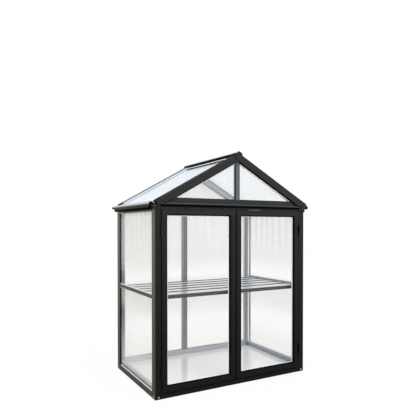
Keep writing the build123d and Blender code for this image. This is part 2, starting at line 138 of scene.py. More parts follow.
class Graph:
    """The node tree of one material or world, with a method that makes any node."""

    def __init__(self, owner: Union[bpy.types.Material, bpy.types.World]) -> None:
        """Empties the owner's tree.

        Args:
            owner: The material or the world whose tree it is.
        """
        owner.use_nodes = True
        self.tree = owner.node_tree
        self.tree.nodes.clear()

    def node(self, kind: str, settings: Optional[dict] = None, inputs: Optional[dict] = None) -> Signal:
        """Makes one node.

        Args:
            kind: The node's type.
            settings: Its properties, set first. A ramp's stops are pairs of place and colour.
            inputs: Values or signals for its sockets, by name or number.

        Returns:
            The node's first output. An output node has none, and gives its first input.
        """
        made = self.tree.nodes.new(kind)
        for name, value in (settings or {}).items():
            if name == "stops":
                self._set_stops(made.color_ramp, value)
            else:
                setattr(made, name, value)
        for name, value in (inputs or {}).items():
            if isinstance(value, Signal):
                self.tree.links.new(value.socket, made.inputs[name])
            else:
                made.inputs[name].default_value = value
        return Signal(self, made.outputs[0] if made.outputs else made.inputs[0])

    @staticmethod
    def _set_stops(ramp: bpy.types.ColorRamp, stops: list) -> None:
        """Gives a colour ramp its stops, in order.

        Args:
            ramp: The ramp.
            stops: Pairs of place and colour.
        """
        while len(ramp.elements) < len(stops):
            ramp.elements.new(1.0)
        for element, (place, colour) in zip(ramp.elements, stops):
            element.position = place
            element.color = rgba(colour)

    def place(self) -> Signal:
        """Object coordinates, as a vector."""
        return self.node("ShaderNodeTexCoord").out("Object")

    def parts(self, vector: Signal) -> tuple[Signal, Signal, Signal]:
        """The three numbers of a vector."""
        split = self.node("ShaderNodeSeparateXYZ", None, {0: vector})
        return split.out(0), split.out(1), split.out(2)

    def facing(self) -> tuple[Signal, Signal, Signal]:
        """The three numbers of the surface's normal, in the object's own frame."""
        return self.parts(self.node("ShaderNodeTexCoord").out("Normal"))

    def stretched(self, vector: Signal, scale: Scale) -> Signal:
        """A vector with each of its numbers scaled."""
        return self.node("ShaderNodeMapping", None, {"Vector": vector, "Scale": scale})

    def noise(self, vector: Signal, scale: float, detail: float = 2.0) -> Signal:
        """Smooth noise about one half."""
        return self.node("ShaderNodeTexNoise", None, {"Vector": vector, "Scale": scale, "Detail": detail})

    def step(self, value: Signal, low: float, high: float, start: float = 0.0, end: float = 1.0) -> Signal:
        """A soft step from start, where the value is low, to end, where it is high."""
        return self.node("ShaderNodeMapRange", {"interpolation_type": "SMOOTHSTEP"}, {
            "Value": value, "From Min": low, "From Max": high, "To Min": start, "To Max": end})

    def blend(self, first: Union[Colour, Signal], second: Union[Colour, Signal], share: Number) -> Signal:
        """A colour between two, at share of the way to the second."""
        ends = [c if isinstance(c, Signal) else rgba(c) for c in (first, second)]
        return self.node("ShaderNodeMix", {"data_type": "RGBA"}, {0: share, 6: ends[0], 7: ends[1]}).out(2)

    def bump(self, height: Signal, strength: float, depth: float) -> Signal:
        """A normal that follows a height."""
        return self.node("ShaderNodeBump", None, {"Strength": strength, "Distance": depth, "Height": height})

    def principled(self, **sockets: Union[float, tuple, Signal]) -> Signal:
        """A main surface. An underscore in a name stands for a space."""
        named = {name.replace("_", " "): value for name, value in sockets.items()}
        return self.node("ShaderNodeBsdfPrincipled", None, named)

    def mix(self, share: Number, first: Signal, second: Signal) -> Signal:
        """A mix of two surfaces, at share of the way to the second."""
        return self.node("ShaderNodeMixShader", None, {0: share, 1: first, 2: second})

    def show(self, surface: Signal) -> None:
        """Joins a surface to the output."""
        self.node("ShaderNodeOutputMaterial", None, {"Surface": surface})

    def sheet(self, body: Signal, cover: Number, **sockets: Union[float, tuple, Signal]) -> Signal:
        """A milky sheet: half of what it scatters passes through.

        Args:
            body: The sheet's colour.
            cover: How much each of its faces hides of what lies behind.
            sockets: The gloss, as for a main surface.

        Returns:
            The surface.
        """
        front = self.principled(Base_Color=body, **sockets)
        through = self.node("ShaderNodeBsdfTranslucent", None, {"Color": body})
        clear = self.node("ShaderNodeBsdfTransparent")
        return self.mix(cover, clear, self.mix(0.5, front, through))


@dataclass(frozen=True)
class Finish:
    """What every finish has: a name, and a material that is made once."""

    name: str
    made: ClassVar[dict[str, bpy.types.Material]] = {}

    def material(self) -> bpy.types.Material:
        """Makes the material at its first use.

        Returns:
            The material of this finish.
        """
        if self.name not in self.made:
            self.made[self.name] = bpy.data.materials.new(self.name)
            self.paint(Graph(self.made[self.name]))
        return self.made[self.name]

    def paint(self, graph: Graph) -> None:
        """Builds the nodes. Each kind of finish has its own."""
        raise NotImplementedError


@dataclass(frozen=True)
class PowderCoat(Finish):
    """Satin powder coat on metal, with painted light: painted warm light makes the sides brown, and painted
    pale light lies where the sheets light it.

    A sheen gives its share of the gloss, from 0 to 1. A colour that ends in low or high belongs to
    the foot or the head of a post, and the crown lies above both; the head and the crown are painted
    lighter than the foot. The top colour is a painted cool reflection of the sky, and the under colour
    a painted shade beneath. Between shadow_low and shadow_high the coat lies in a painted deep shadow.
    The fields that start with inner belong to faces that look into the house, and hold the painted
    pale light of the sheets.
    """

    # Front faces, painted lighter from the foot to the head and the crown.
    low: Colour = (0.0042, 0.0043, 0.0036)
    high: Colour = (0.0065, 0.0066, 0.0064)
    crown: Colour = (0.0195, 0.0197, 0.0197)
    # Painted warm light on the sides, brown and lighter towards the head; the flank highlight is a painted
    # highlight towards the ends of the flanks.
    side_low: Colour = (0.035, 0.025, 0.013)
    side_high: Colour = (0.054, 0.042, 0.026)
    flank_highlight: float = 0.10
    # Painted cool reflection of the sky on faces that look up.
    top: Colour = (0.060, 0.072, 0.092)
    # Painted shade on faces that look down.
    under: Colour = (0.003, 0.003, 0.003)
    # Painted pale light from the sheets on faces that look into the house.
    inner: Colour = (0.22, 0.25, 0.285)
    inner_pale: Colour = (0.36, 0.40, 0.45)
    sheen_low: float = 0.32
    sheen_high: float = 0.78
    sheen_side: float = 1.0
    sheen_under: float = 0.15
    sheen_top: float = 1.0
    above_from: float = 0.1
    above_full: float = 0.7
    under_from: float = 0.25
    under_full: float = 0.80
    gloss: float = 1.36
    # Painted deep shadow between these heights.
    shadow_low: float = -2.0
    shadow_high: float = -1.0
    height: float = 1.1
    crown_height: float = 1.02
    roughness: float = 0.22
    grain_scale: float = 900.0
    grain_depth: float = 0.00006
    inner_x: float = 0.4785
    inner_y: float = -0.2575
    inner_top: float = 1.03
    inner_from: float = 0.4
    inner_above: float = 1.0
    inner_soft: float = 0.4
    sheet_x: float = 0.488
    forward_share: float = 0.55
    forward_from: float = 0.4
    forward_full: float = 0.8
    side_from: float = 0.5
    side_full: float = 0.95
    # Where the painted highlight on the flanks starts and ends.
    flank_from: float = 0.24
    flank_to: float = 0.32
    crown_soft: float = 0.02
    shadow_soft: float = 0.008
    shadow_floor: float = 0.15
    drift_stretch: Scale = (3.0, 3.0, 1.2)
    drift_share: float = 0.3
    streak_stretch: Scale = (60.0, 60.0, 3.0)
    rib_pitch: float = 0.0105
    rib_share: float = 0.18
    above_share: float = 0.25
    grain_strength: float = 0.35

    def paint(self, graph: Graph) -> None:
        """Builds the nodes.

        Args:
            graph: The empty tree of the material.
        """
        place = graph.place()
        x, y, z = graph.parts(place)
        nx, ny, nz = graph.facing()
        rise = graph.step(z, 0.0, self.height)
        grain = graph.noise(place, self.grain_scale, 3.0)
        drift = graph.noise(graph.stretched(place, self.drift_stretch), 2.0, 2.0)
        side = graph.step(abs(nx), self.side_from, self.side_full)
        above = graph.step(nz, self.above_from, self.above_full)
        below = graph.step(nz * -1.0, self.under_from, self.under_full)
        # Front faces painted lighter towards the head and the crown, with a random drift of tone.
        front = graph.blend(self.low, self.high, rise + drift * self.drift_share - self.drift_share / 2)
        crowned = graph.step(z, self.crown_height - self.crown_soft, self.crown_height + self.crown_soft)
        front = graph.blend(front, self.crown, crowned)
        # Painted warm light on the sides, with a painted highlight towards the ends of the flanks.
        forward = graph.step(abs(y), self.flank_from, self.flank_to, -self.flank_highlight, self.flank_highlight)
        flank = graph.blend(self.side_low, self.side_high, rise)
        warm_light_share = 1 - self.drift_share / 2 + drift * self.drift_share
        body = graph.blend(front, flank, side * (warm_light_share + forward))
        # Painted cool sky reflection on the tops and painted shade on the undersides.
        body = graph.blend(graph.blend(body, self.top, above), self.under, below)
        # Painted pale light from the sheets on inner faces, in streaks and ribs like the sheets' own.
        inside = self._inside(graph, place, nx, ny, nz)
        streaks = graph.noise(graph.stretched(place, self.streak_stretch), 1.0, 2.0)
        ribs = ((x + y) * (2 * pi / self.rib_pitch)).sine()
        painted_light_share = streaks + ribs * self.rib_share + above * self.above_share
        pale = graph.blend(self.inner, self.inner_pale, painted_light_share)
        body = graph.blend(body, pale, inside)
        # Painted deep shadow between shadow_low and shadow_high; it also thins the coat there.
        shaded = graph.step(z, self.shadow_low, self.shadow_low + self.shadow_soft)
        lit = 1 - shaded * (z < self.shadow_high)
        sheen = self.sheen_low + rise * (self.sheen_high - self.sheen_low)
        sheen = sheen * (1 - side * (1 - self.sheen_side)) * (1 - below * (1 - self.sheen_under))
        graph.show(graph.principled(
            Base_Color=graph.blend((0.0, 0.0, 0.0), body, self.shadow_floor + lit * (1 - self.shadow_floor)),
            Roughness=0.6,
            Specular_IOR_Level=0.0,
            Coat_Weight=sheen * lit * (1 - above) + above * self.sheen_top,
            Coat_Roughness=self.roughness,
            Coat_IOR=self.gloss,
            Normal=graph.bump(grain, self.grain_strength, self.grain_depth),
        ))

    def _inside(self, graph: Graph, place: Signal, nx: Signal, ny: Signal, nz: Signal) -> Signal:
        """How much painted pale light from the sheets falls on a face that looks into the house.

        Args:
            graph: The tree of the material.
            place: Object coordinates.
            nx: The normal's part along X.
            ny: The normal's part along Y.
            nz: The normal's part along Z.

        Returns:
            The share of the painted pale light, less on faces that look forward than on the sides.
        """
        x, y, z = graph.parts(place)
        behind = (y > self.inner_y) * (z < self.inner_top)
        sideways = graph.step(abs(nx).most(nz), self.inner_from, self.inner_from + self.inner_soft)
        above = graph.step(nz, self.above_from, self.above_full)
        sideways = sideways * (1 - above * (1 - self.inner_above))
        sideways = sideways * (abs(x) < self.inner_x) * behind
        forward = graph.step(ny * -1.0, self.forward_from, self.forward_full)
        forward = forward * (abs(x) < self.sheet_x) * behind
        return sideways.most(forward * self.forward_share)


@dataclass(frozen=True)
class InnerCoat(Finish):
    """The same coat on the bars that stand behind the sheets, painted milky and blue-grey in their light,
    with painted streaks and ribs of that light.
    """

    body: Colour = (0.185, 0.200, 0.220)
    pale: Colour = (0.30, 0.32, 0.35)
    # Painted lighter face where x is below edge_x.
    edge: Colour = (0.30, 0.32, 0.345)
    edge_x: float = -1.0
    # Painted light that lifts the foot and darkens the head.
    foot_lift: float = 0.0
    foot_from: float = 0.1
    foot_to: float = 0.95
    # Painted streaks and ribs of the sheets' light.
    streak_stretch: Scale = (60.0, 60.0, 1.0)
    streak_share: float = 0.8
    streak_start: float = -0.15
    rib_pitch: float = 0.011
    rib_share: float = 0.08

    def paint(self, graph: Graph) -> None:
        """Builds the nodes.

        Args:
            graph: The empty tree of the material.
        """
        place = graph.place()
        x, y, z = graph.parts(place)
        streaks = graph.noise(graph.stretched(place, self.streak_stretch), 1.0, 2.0)
        ribs = ((x + y) * (2 * pi / self.rib_pitch)).sine()
        foot = graph.step(z, self.foot_from, self.foot_to, self.foot_lift, -self.foot_lift)
        painted_light_share = streaks * self.streak_share + self.streak_start + ribs * self.rib_share + foot
        body = graph.blend(self.body, self.pale, painted_light_share)
        graph.show(graph.principled(
            Base_Color=graph.blend(body, self.edge, x < self.edge_x),
            Roughness=0.5 + streaks * 0.1,
            Specular_IOR_Level=0.3,
        ))


@dataclass(frozen=True)
class ShelfCoat(Finish):
    """Glossy coat on the shelf: dark on the edges, with a painted pale reflection on the tops of the slats.
    """

    edge: Colour = (0.030, 0.032, 0.036)
    # Painted reflection of the bright back wall on the tops of the slats.
    top: Colour = (0.57, 0.595, 0.635)
    top_from: float = 0.5
    top_full: float = 0.95
    wear_and_sheen_stretch: Scale = (6.0, 60.0, 6.0)
    grain_scale: float = 700.0
    grain_depth: float = 0.00005

    def paint(self, graph: Graph) -> None:
        """Builds the nodes.

        Args:
            graph: The empty tree of the material.
        """
        place = graph.place()
        _, _, nz = graph.facing()
        above = graph.step(nz, self.top_from, self.top_full)
        # Random wear, which varies both the roughness and the painted reflection on the tops.
        wear_and_sheen = graph.noise(graph.stretched(place, self.wear_and_sheen_stretch), 1.0, 3.0)
        body = graph.blend(self.edge, self.top, above * (0.8 + wear_and_sheen * 0.4))
        graph.show(graph.principled(
            Base_Color=body,
            Roughness=0.4 + wear_and_sheen * 0.15,
            Specular_IOR_Level=0.2,
            Coat_Weight=0.2 + above * 0.8,
            Coat_Roughness=0.12,
            Coat_IOR=1.5,
            Normal=graph.bump(graph.noise(place, self.grain_scale, 2.0), 0.25, self.grain_depth),
        ))


@dataclass(frozen=True)
class Glow:
    """A soft band of painted glow in a sheet: it rises from its foot to its middle and ends at its head."""

    foot: float
    middle: float
    head: float

    def paint(self, graph: Graph, z: Signal) -> Signal:
        """How bright the band is at each height, from 0 to 1."""
        return graph.step(z, self.foot, self.middle) * graph.step(z, self.middle, self.head, 1.0, 0.0)


@dataclass(frozen=True)
class TwinWall(Finish):
    """Ribbed twin-wall sheet: pale and milky, with fine ribs and wider streaks along them.

    It is clearer in level bands, which are painted brighter as a painted glow of the light from beyond. A
    streak is darkest at the sheet's head, where head_shade adds a painted shade under the head rail.
    """

    across: Axis = Axis.X
    milk: Colour = (0.965, 0.955, 0.915)
    # The colour of the painted glow.
    bright: Colour = (0.995, 0.965, 0.89)
    shade: Colour = (0.60, 0.60, 0.58)
    veil: float = 0.42
    glow_veil: float = 0.10
    glows: tuple[Glow, ...] = ()
    rib_pitch: float = 0.0105
    rib_shade: float = 0.08
    streak_pitch: float = 0.068
    streak_shade: float = 0.1
    streak_low: float = 0.12
    streak_from: float = 0.64
    streak_to: float = 0.92
    # Painted shade in the streaks just under the head rail.
    head_from: float = 0.973
    head_shade: float = 0.0
    head_soft: float = 0.005
    streak_cover: float = 0.12
    rib_depth: float = 0.0002
    roughness: float = 0.2

    def paint(self, graph: Graph) -> None:
        """Builds the nodes.

        Args:
            graph: The empty tree of the material.
        """
        place = graph.place()
        x, y, z = graph.parts(place)
        along = (x, y)[self.across.value]
        ribs = graph.step(abs((along * (pi / self.rib_pitch)).sine()), 0.0, 0.5, 1.0, 0.0)
        streaks = self._streaks(graph, place, along, z)
        # Painted glow: the body turns to the bright colour in the bands.
        glow = z * 0.0
        for band in self.glows:
            glow = glow.most(band.paint(graph, z))
        body = graph.blend(self.milk, self.bright, glow)
        body = graph.blend(body, self.shade, streaks * self.streak_shade + ribs * self.rib_shade)
        cover, clear = (1 - sqrt(1 - veil) for veil in (self.veil, self.glow_veil))
        cover = cover + glow * (clear - cover) + streaks * self.streak_shade * self.streak_cover
        graph.show(graph.sheet(body, cover, Roughness=self.roughness, Specular_IOR_Level=0.35,
                               Normal=graph.bump(ribs, 0.3, self.rib_depth)))

    def _streaks(self, graph: Graph, place: Signal, along: Signal, z: Signal) -> Signal:
        """Uneven streaks along the ribs, strong under the head of the sheet and finer lower down.

        Args:
            graph: The tree of the material.
            place: Object coordinates.
            along: The coordinate across the ribs.
            z: The height.

        Returns:
            The streaks, from 0 up.
        """
        scale = [0.0, 0.0, 0.25]
        scale[self.across.value] = 0.35 / self.streak_pitch
        drift = graph.noise(graph.stretched(place, tuple(scale)), 1.0, 1.0)
        wide = ((along * (2 * pi / self.streak_pitch)) + drift * 4.0).sine()
        fine = ((along * (6 * pi / self.streak_pitch)) + drift * 9.0).sine()
        high = graph.step(z, self.streak_from, self.streak_to)
        strength = self.streak_low + high * (1 - self.streak_low)
        # Painted shade under the head rail.
        strength = strength + graph.step(z, self.head_from, self.head_from + self.head_soft) * self.head_shade
        return graph.step(wide * (0.3 + high * 0.5) + fine * (0.5 - high * 0.3), -0.25, 0.75) * strength


@dataclass(frozen=True)
class RoofSheet(Finish):
    """The roof's twin-wall sheet: cooler, with a painted blue and white reflection of the sky streaked down
    its slope, a painted white highlight towards its front edge and its foot, and glossy when seen aslant.
    """

    milk: Colour = (0.80, 0.86, 0.93)
    # Painted blue sky reflection, in the streaks and towards the back verge.
    blue: Colour = (0.47, 0.65, 0.83)
    white: Colour = (0.93, 0.95, 0.975)
    veil: float = 0.52
    inner_share: float = 0.35
    streak_stretch: Scale = (0.12, 22.0, 0.12)
    fine_stretch: Scale = (0.2, 75.0, 0.2)
    fine_cover: float = 0.2
    fine_depth: float = 0.0003
    blue_share: float = 0.8
    verge_from: float = 0.10
    verge_soft: float = 0.12
    verge_share: float = 0.9
    # Painted white glints along the fine streaks, and a painted white highlight along the front edge and
    # towards the foot.
    white_share: float = 0.7
    edge_from: float = -0.25
    edge_soft: float = 0.03
    foot_from: float = 1.04
    foot_to: float = 1.14
    foot_share: float = 0.25
    gloss_from: float = 0.55
    gloss_full: float = 0.90
    gloss: float = 0.88
    gloss_roughness: float = 0.12

    def paint(self, graph: Graph) -> None:
        """Builds the nodes.

        Args:
            graph: The empty tree of the material.
        """
        place = graph.place()
        _, y, z = graph.parts(place)
        streaks = graph.noise(graph.stretched(place, self.streak_stretch), 1.0, 4.0)
        fine = graph.noise(graph.stretched(place, self.fine_stretch), 1.0, 2.0)
        # Painted sky reflection: blue in the streaks and towards the back verge, and white glints along the
        # fine streaks.
        verge = graph.step(y, self.verge_from, self.verge_from + self.verge_soft) * self.verge_share
        sky_blue_share = graph.step(streaks, 0.42, 0.58, 0.0, self.blue_share).most(verge)
        white_glint_share = graph.step(fine, 0.46, 0.62, 0.0, self.white_share)
        # Painted white highlight along the front edge and towards the foot.
        edge = graph.step(y, self.edge_from - self.edge_soft, self.edge_from + self.edge_soft)
        foot = graph.step(z, self.foot_from, self.foot_to, self.foot_share, 1.0)
        body = graph.blend(graph.blend(self.milk, self.blue, sky_blue_share), self.white, white_glint_share)
        body = graph.blend(self.white, graph.blend(self.white, body, edge), foot)
        cover = 1 - sqrt(1 - self.veil) + (fine - 0.5) * self.fine_cover
        normal = graph.bump(fine, 0.25, self.fine_depth)
        pale = graph.blend(self.white, body, self.inner_share)
        milky = graph.sheet(pale, cover, Roughness=0.15, Specular_IOR_Level=0.5, Normal=normal)
        glossy = graph.principled(Base_Color=body, Metallic=1.0, Roughness=self.gloss_roughness)
        aslant = graph.node("ShaderNodeLayerWeight", None, {"Blend": 0.5}).out("Facing")
        share = graph.step(aslant, self.gloss_from, self.gloss_full, 0.0, self.gloss)
        graph.show(graph.mix(share * (graph.facing()[2] > 0.0), milky, glossy))


@dataclass(frozen=True)
class FloorBoard(Finish):
    """The floor panel: pale and glossy, so that the bars behind it show faintly."""

    body: Colour = (0.965, 0.965, 0.975)
    cloud: Colour = grey(0.985)
    cloud_scale: float = 4.0
    grain_scale: float = 500.0
    grain_depth: float = 0.0001

    def paint(self, graph: Graph) -> None:
        """Builds the nodes.

        Args:
            graph: The empty tree of the material.
        """
        place = graph.place()
        cloud = graph.noise(place, self.cloud_scale, 3.0)
        graph.show(graph.principled(
            Base_Color=graph.blend(self.body, self.cloud, cloud * 0.5),
            Roughness=0.5,
            Specular_IOR_Level=0.2,
            Coat_Weight=1.0,
            Coat_Roughness=0.10,
            Coat_IOR=2.1,
            Normal=graph.bump(graph.noise(place, self.grain_scale, 2.0), 0.1, self.grain_depth),
        ))


@dataclass(frozen=True)
class Seal(Finish):
    """Rubber and matt plastic: the seals of the sheets, and the frame's plugs and joint lines."""

    body: Colour = (0.97, 0.97, 0.96)
    shade: Colour = (0.88, 0.88, 0.88)
    specular: float = 0.3
    grain_scale: float = 300.0

    def paint(self, graph: Graph) -> None:
        """Builds the nodes.

        Args:
            graph: The empty tree of the material.
        """
        fine = graph.noise(graph.place(), self.grain_scale, 2.0)
        graph.show(graph.principled(
            Base_Color=graph.blend(self.body, self.shade, fine * 0.4),
            Roughness=0.45 + fine * 0.2,
            Specular_IOR_Level=self.specular,
        ))


@dataclass(frozen=True)
class Zinc(Finish):
    """Plated steel of the bolts and screws."""

    body: Colour = (0.60, 0.61, 0.61)
    stain: Colour = grey(0.35)
    grain_scale: float = 600.0

    def paint(self, graph: Graph) -> None:
        """Builds the nodes.

        Args:
            graph: The empty tree of the material.
        """
        fine = graph.noise(graph.place(), self.grain_scale, 3.0)
        graph.show(graph.principled(
            Base_Color=graph.blend(self.body, self.stain, fine * 0.5),
            Metallic=1.0,
            Roughness=0.22 + fine * 0.2,
        ))


class Shaper:
    """Models one piece with Blender's own tools, as by hand."""

    def __init__(self, name: str) -> None:
        """Starts with nothing selected."""
        self.name = name
        bpy.ops.object.select_all(action="DESELECT")

    def start(self, add: Callable, **sizes: object) -> bpy.types.Object:
        """Adds a primitive and names it.

        Args:
            add: The operator that adds it.
            sizes: The operator's own arguments.

        Returns:
            The new piece.
        """
        add(**sizes)
        piece = bpy.context.object
        piece.name = self.name
        piece.data.name = self.name
        return piece

    @staticmethod
    def pick_faces(piece: bpy.types.Object, wanted: Callable[[bmesh.types.BMFace], bool]) -> None:
        """Selects the faces that pass a test, in edit mode.

        Args:
            piece: The piece that is edited.
            wanted: The test.
        """
        bpy.ops.mesh.select_mode(type="FACE")
        bpy.ops.mesh.select_all(action="DESELECT")
        mesh = bmesh.from_edit_mesh(piece.data)
        for face in mesh.faces:
            face.select = wanted(face)
        mesh.select_flush_mode()
        bmesh.update_edit_mesh(piece.data)

    @staticmethod
    def pick_edges(piece: bpy.types.Object, wanted: Callable[[bmesh.types.BMEdge], bool]) -> None:
        """Selects the edges that pass a test, in edit mode.

        Args:
            piece: The piece that is edited.
            wanted: The test.
        """
        bpy.ops.mesh.select_mode(type="EDGE")
        bpy.ops.mesh.select_all(action="DESELECT")
        mesh = bmesh.from_edit_mesh(piece.data)
        for edge in mesh.edges:
            edge.select = wanted(edge)
        mesh.select_flush_mode()
        bmesh.update_edit_mesh(piece.data)

    @staticmethod
    def settle(piece: bpy.types.Object, placement: Optional[Matrix] = None) -> bpy.types.Object:
        """Moves the piece's place into its mesh and smooths its shading.

        Args:
            piece: The finished piece, modelled about its own middle.
            placement: Where it goes in the object's frame.

        Returns:
            The piece, at the origin.
        """
        bpy.ops.object.select_all(action="DESELECT")
        piece.select_set(True)
        bpy.context.view_layer.objects.active = piece
        if placement is not None:
            piece.matrix_world = placement
        bpy.ops.object.transform_apply(location=True, rotation=True, scale=True)
        bpy.ops.object.shade_smooth_by_angle(angle=SMOOTH_ANGLE)
        return piece

    @staticmethod
    def join(name: str, pieces: list[bpy.types.Object]) -> bpy.types.Object:
        """Joins finished pieces into one.

        Args:
            name: The name of the whole.
            pieces: What it is made of.

        Returns:
            The whole.
        """
        bpy.ops.object.select_all(action="DESELECT")
        for piece in pieces:
            piece.select_set(True)
        bpy.context.view_layer.objects.active = pieces[0]
        if len(pieces) > 1:
            bpy.ops.object.join()
        pieces[0].name = name
        return pieces[0]


def on_wall(origin: Vector, right: Vector, up: Vector) -> Matrix:
    """Placement of a piece that is modelled flat.

    Args:
        origin: Where the piece's origin goes.
        right: The direction that its own X turns to.
        up: The direction that its own Y turns to.

    Returns:
        The placement. The piece's own Z turns outwards, to right cross up.
    """
    out = right.cross(up)
    turned = Matrix((right, up, out)).transposed().to_4x4()
    return Matrix.Translation(origin) @ turned


def face_x(box: tuple[Vector, Vector], sign: int) -> float:
    """The place along X of a box's face on one side, which is -1 for left and 1 for right."""
    return box[1].x if sign > 0 else box[0].x


@dataclass
class Bead:
    """A seal that lies on a sheet round an opening, with a rounded outer edge."""

    width: float = 0.0045
    thickness: float = 0.003
    rounding: float = 0.0009

    def make(self, name: str, size: tuple[float, float], placement: Matrix,
             peak: Optional[float] = None) -> bpy.types.Object:
        """Models the seal of one opening.

        Args:
            name: The piece's name.
            size: The opening's width and height.
            placement: Where the opening's middle is, and which way it faces.
            peak: Where a triangle has its point, as a share of the width from the middle. None for
                an opening with four corners.

        Returns:
            The seal.
        """
        shaper = Shaper(name)
        piece = shaper.start(bpy.ops.mesh.primitive_plane_add, size=1.0)
        piece.scale = (size[0], size[1], 1.0)
        bpy.ops.object.transform_apply(scale=True)
        bpy.ops.object.mode_set(mode="EDIT")
        if peak is not None:
            shaper.pick_edges(piece, lambda edge: all(v.co.y > 0 for v in edge.verts))
            bpy.ops.mesh.select_mode(type="VERT")
            bpy.ops.mesh.merge(type="CENTER")
            bpy.ops.transform.translate(value=(peak * size[0], 0, 0))
        bpy.ops.mesh.select_all(action="SELECT")
        bpy.ops.mesh.inset(thickness=self.width, depth=0.0)
        bpy.ops.mesh.delete(type="FACE")
        bpy.ops.mesh.select_all(action="SELECT")
        bpy.ops.mesh.extrude_region_move(TRANSFORM_OT_translate={"value": (0, 0, self.thickness)})
        shaper.pick_edges(piece, lambda edge: all(v.co.z > self.thickness / 2 for v in edge.verts)
                          and any(abs(face.normal.z) < 0.5 for face in edge.link_faces))
        bpy.ops.mesh.bevel(offset=self.rounding, segments=2, affect="EDGES")
        bpy.ops.mesh.select_all(action="SELECT")
        bpy.ops.mesh.normals_make_consistent(inside=False)
        bpy.ops.object.mode_set(mode="OBJECT")
        return shaper.settle(piece, placement)


@dataclass
class Strip:
    """A straight seal that lies along one edge of a sheet."""

    width: float = 0.0045
    thickness: float = 0.003
    rounding: float = 0.0009

    def make(self, name: str, length: float, placement: Matrix) -> bpy.types.Object:
        """Models one strip, which lies on the XY plane along X, on the upper side of the X axis.

        Args:
            name: The piece's name.
            length: Its length.
            placement: Where its middle is, and which way it faces.

        Returns:
            The strip.
        """
        shaper = Shaper(name)
        piece = shaper.start(bpy.ops.mesh.primitive_cube_add, size=1.0,
                             location=(0, self.width / 2, self.thickness / 2))
        piece.scale = (length, self.width, self.thickness)
        bpy.ops.object.transform_apply(location=True, scale=True)
        bpy.ops.object.mode_set(mode="EDIT")
        shaper.pick_edges(piece, lambda edge: all(v.co.z > self.thickness / 2 for v in edge.verts))
        bpy.ops.mesh.bevel(offset=self.rounding, segments=2, affect="EDGES")
        bpy.ops.object.mode_set(mode="OBJECT")
        return shaper.settle(piece, placement)


@dataclass
class Plug:
    """A round plug in the open end of a tube, dished in the middle."""

    radius: float = 0.0108
    height: float = 0.0028
    rim: float = 0.0022
    dish: float = 0.0009
    rounding: float = 0.0009
    sides: int = 32

    def make(self, name: str, placement: Matrix) -> bpy.types.Object:
        """Models one plug, standing on the XY plane.

        Args:
            name: The piece's name.
            placement: Where it goes.

        Returns:
            The plug.
        """
        shaper = Shaper(name)
        piece = shaper.start(bpy.ops.mesh.primitive_cylinder_add, vertices=self.sides, radius=self.radius,
                             depth=self.height, location=(0, 0, self.height / 2))
        bpy.ops.object.transform_apply(location=True)
        bpy.ops.object.mode_set(mode="EDIT")
        shaper.pick_edges(piece, lambda edge: all(v.co.z > self.height / 2 for v in edge.verts))
        bpy.ops.mesh.bevel(offset=self.rounding, segments=3, affect="EDGES")
        shaper.pick_faces(piece, lambda face: face.normal.z > 0.99)
        bpy.ops.mesh.inset(thickness=self.rim, depth=0.0)
        bpy.ops.mesh.inset(thickness=self.dish, depth=-self.dish)
        bpy.ops.object.mode_set(mode="OBJECT")
        return shaper.settle(piece, placement)


@dataclass
class Bolt:
    """A button-head bolt on a washer."""

    head_radius: float = 0.0037
    head_height: float = 0.0022
    washer_radius: float = 0.0046
    washer_height: float = 0.0007
    socket_radius: float = 0.0015
    socket_depth: float = 0.0012
    crown_share: float = 0.7
    sides: int = 24

    def make(self, name: str, placement: Matrix) -> bpy.types.Object:
        """Models one bolt head with its washer, standing on the XY plane.

        Args:
            name: The piece's name.
            placement: Where it goes.

        Returns:
            The bolt.
        """
        shaper = Shaper(name)
        piece = shaper.start(bpy.ops.mesh.primitive_cylinder_add, vertices=self.sides,
                             radius=self.washer_radius, depth=self.washer_height,
                             location=(0, 0, self.washer_height / 2))
        bpy.ops.object.transform_apply(location=True)
        bpy.ops.object.mode_set(mode="EDIT")
        shaper.pick_faces(piece, lambda face: face.normal.z > 0.9)
        bpy.ops.mesh.inset(thickness=self.washer_radius - self.head_radius, depth=0.0)
        bpy.ops.mesh.extrude_region_move(TRANSFORM_OT_translate={"value": (0, 0, self.head_height)})
        bpy.ops.mesh.inset(thickness=self.head_radius - self.socket_radius, depth=0.0)
        bpy.ops.mesh.extrude_region_move(TRANSFORM_OT_translate={"value": (0, 0, -self.socket_depth)})
        top = self.washer_height + self.head_height
        shaper.pick_edges(piece, lambda edge: all(abs(v.co.z - top) < 1e-6 for v in edge.verts)
                          and all(v.co.xy.length > self.head_radius * 0.95 for v in edge.verts))
        bpy.ops.mesh.bevel(offset=self.head_height * self.crown_share, segments=4, affect="EDGES")
        bpy.ops.object.mode_set(mode="OBJECT")
        return shaper.settle(piece, placement)


def dress(names: list[str], finish: Finish) -> None:
    """Gives CAD nodes a finish.

    Args:
        names: The nodes' names.
        finish: What they are coated with or made of.
    """
    for name in names:
        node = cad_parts[name]
        node.data.materials.clear()
        node.data.materials.append(finish.material())
        log.info("node %s: %s", name, finish.name)


def add_piece(piece: bpy.types.Object, finish: Finish, body: str) -> bpy.types.Object:
    """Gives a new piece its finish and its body.

    Args:
        piece: The finished piece.
        finish: What it is coated with or made of.
        body: The body that it moves with.

    Returns:
        The piece.
    """
    piece.data.materials.clear()
    piece.data.materials.append(finish.material())
    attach(piece, body)
    log.info("piece %s: %s on %s, %d faces", piece.name, finish.name, body, len(piece.data.polygons))
    return piece


DARK = (0.004, 0.004, 0.004)
COAT = PowderCoat("powder_coat")
# The sill's top is painted dark, as the shade under the doors.
SILL_COAT = PowderCoat("sill_coat", top=(0.010, 0.011, 0.012), sheen_top=0.1)
# Painted pale light from the sheets on the back base rail's inner faces, forward faces too.
BASE_COAT = PowderCoat("base_coat", inner=(0.50, 0.53, 0.57), inner_pale=(0.62, 0.65, 0.69),
                       forward_share=1.0)
